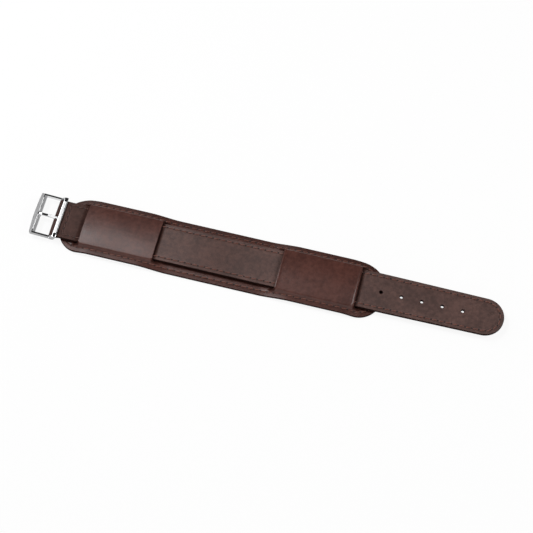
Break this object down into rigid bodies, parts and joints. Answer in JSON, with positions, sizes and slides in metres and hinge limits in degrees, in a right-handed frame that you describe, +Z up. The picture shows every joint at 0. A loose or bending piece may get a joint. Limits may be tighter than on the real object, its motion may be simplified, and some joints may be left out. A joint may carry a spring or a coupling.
{
  "type": "bund watch strap",
  "caption": "One-piece leather watch strap threaded through a stitched wrist pad, with a pin buckle on a spring bar",
  "frame": {"origin": "centre of the footprint of the strap laid out flat, on the surface it lies on", "axes": "+X along the strap from the buckle to the tip, +Y across it, +Z up, away from the wrist"},
  "size_m": [0.235, 0.029, 0.0059],
  "materials": {
    "strap_leather": "smooth aniline-dyed calf leather, dark brown, soft satin sheen",
    "pad_leather": "smooth calf leather, slightly redder dark brown, soft satin sheen",
    "lining_leather": "matte lining leather, dark brown",
    "thread": "waxed polyester sewing thread, reddish brown",
    "buckle_polish": "polished, with a satin-brushed front face",
    "spring_bar_steel": "drawn stainless steel"
  },
  "bodies": {
    "pad": {"pad_top": "pad_leather", "pad_lining": "lining_leather", "pad_thread": "thread"},
    "strap": {"strap_top": "strap_leather", "strap_fold": "strap_leather", "strap_lining": "lining_leather", "strap_thread": "thread", "fold_thread": "thread", "spring_bar_tube": "spring_bar_steel", "spring_bar_coil": "spring_bar_steel"},
    "frame": {"buckle_frame": "buckle_polish"},
    "tongue": {"buckle_tongue": "buckle_polish"},
    "pin_near": {"spring_bar_pin_near": "spring_bar_steel"},
    "pin_far": {"spring_bar_pin_far": "spring_bar_steel"}
  },
  "joints": [
    {"name": "strap_slide", "type": "slide", "parent": "pad", "child": "strap", "axis": [1, 0, 0], "range_m": [-0.055, 0.001]},
    {"name": "frame_hinge", "type": "hinge", "parent": "strap", "child": "frame", "pos_m": [-0.10582, 0, 0.00305], "axis": [0, 1, 0], "range_deg": [-90, 3]},
    {"name": "tongue_hinge", "type": "hinge", "parent": "frame", "child": "tongue", "pos_m": [-0.10582, 0, 0.00305], "axis": [0, 1, 0], "range_deg": [0, 60]},
    {"name": "pin_near_slide", "type": "slide", "parent": "strap", "child": "pin_near", "axis": [0, 1, 0], "range_m": [0, 0.0009], "stiffness_N_per_m": 300, "springref_m": -0.002, "deforming": ["spring_bar_coil"]},
    {"name": "pin_far_slide", "type": "slide", "parent": "strap", "child": "pin_far", "axis": [0, -1, 0], "range_m": [0, 0.0009], "stiffness_N_per_m": 300, "springref_m": -0.002}
  ]
}
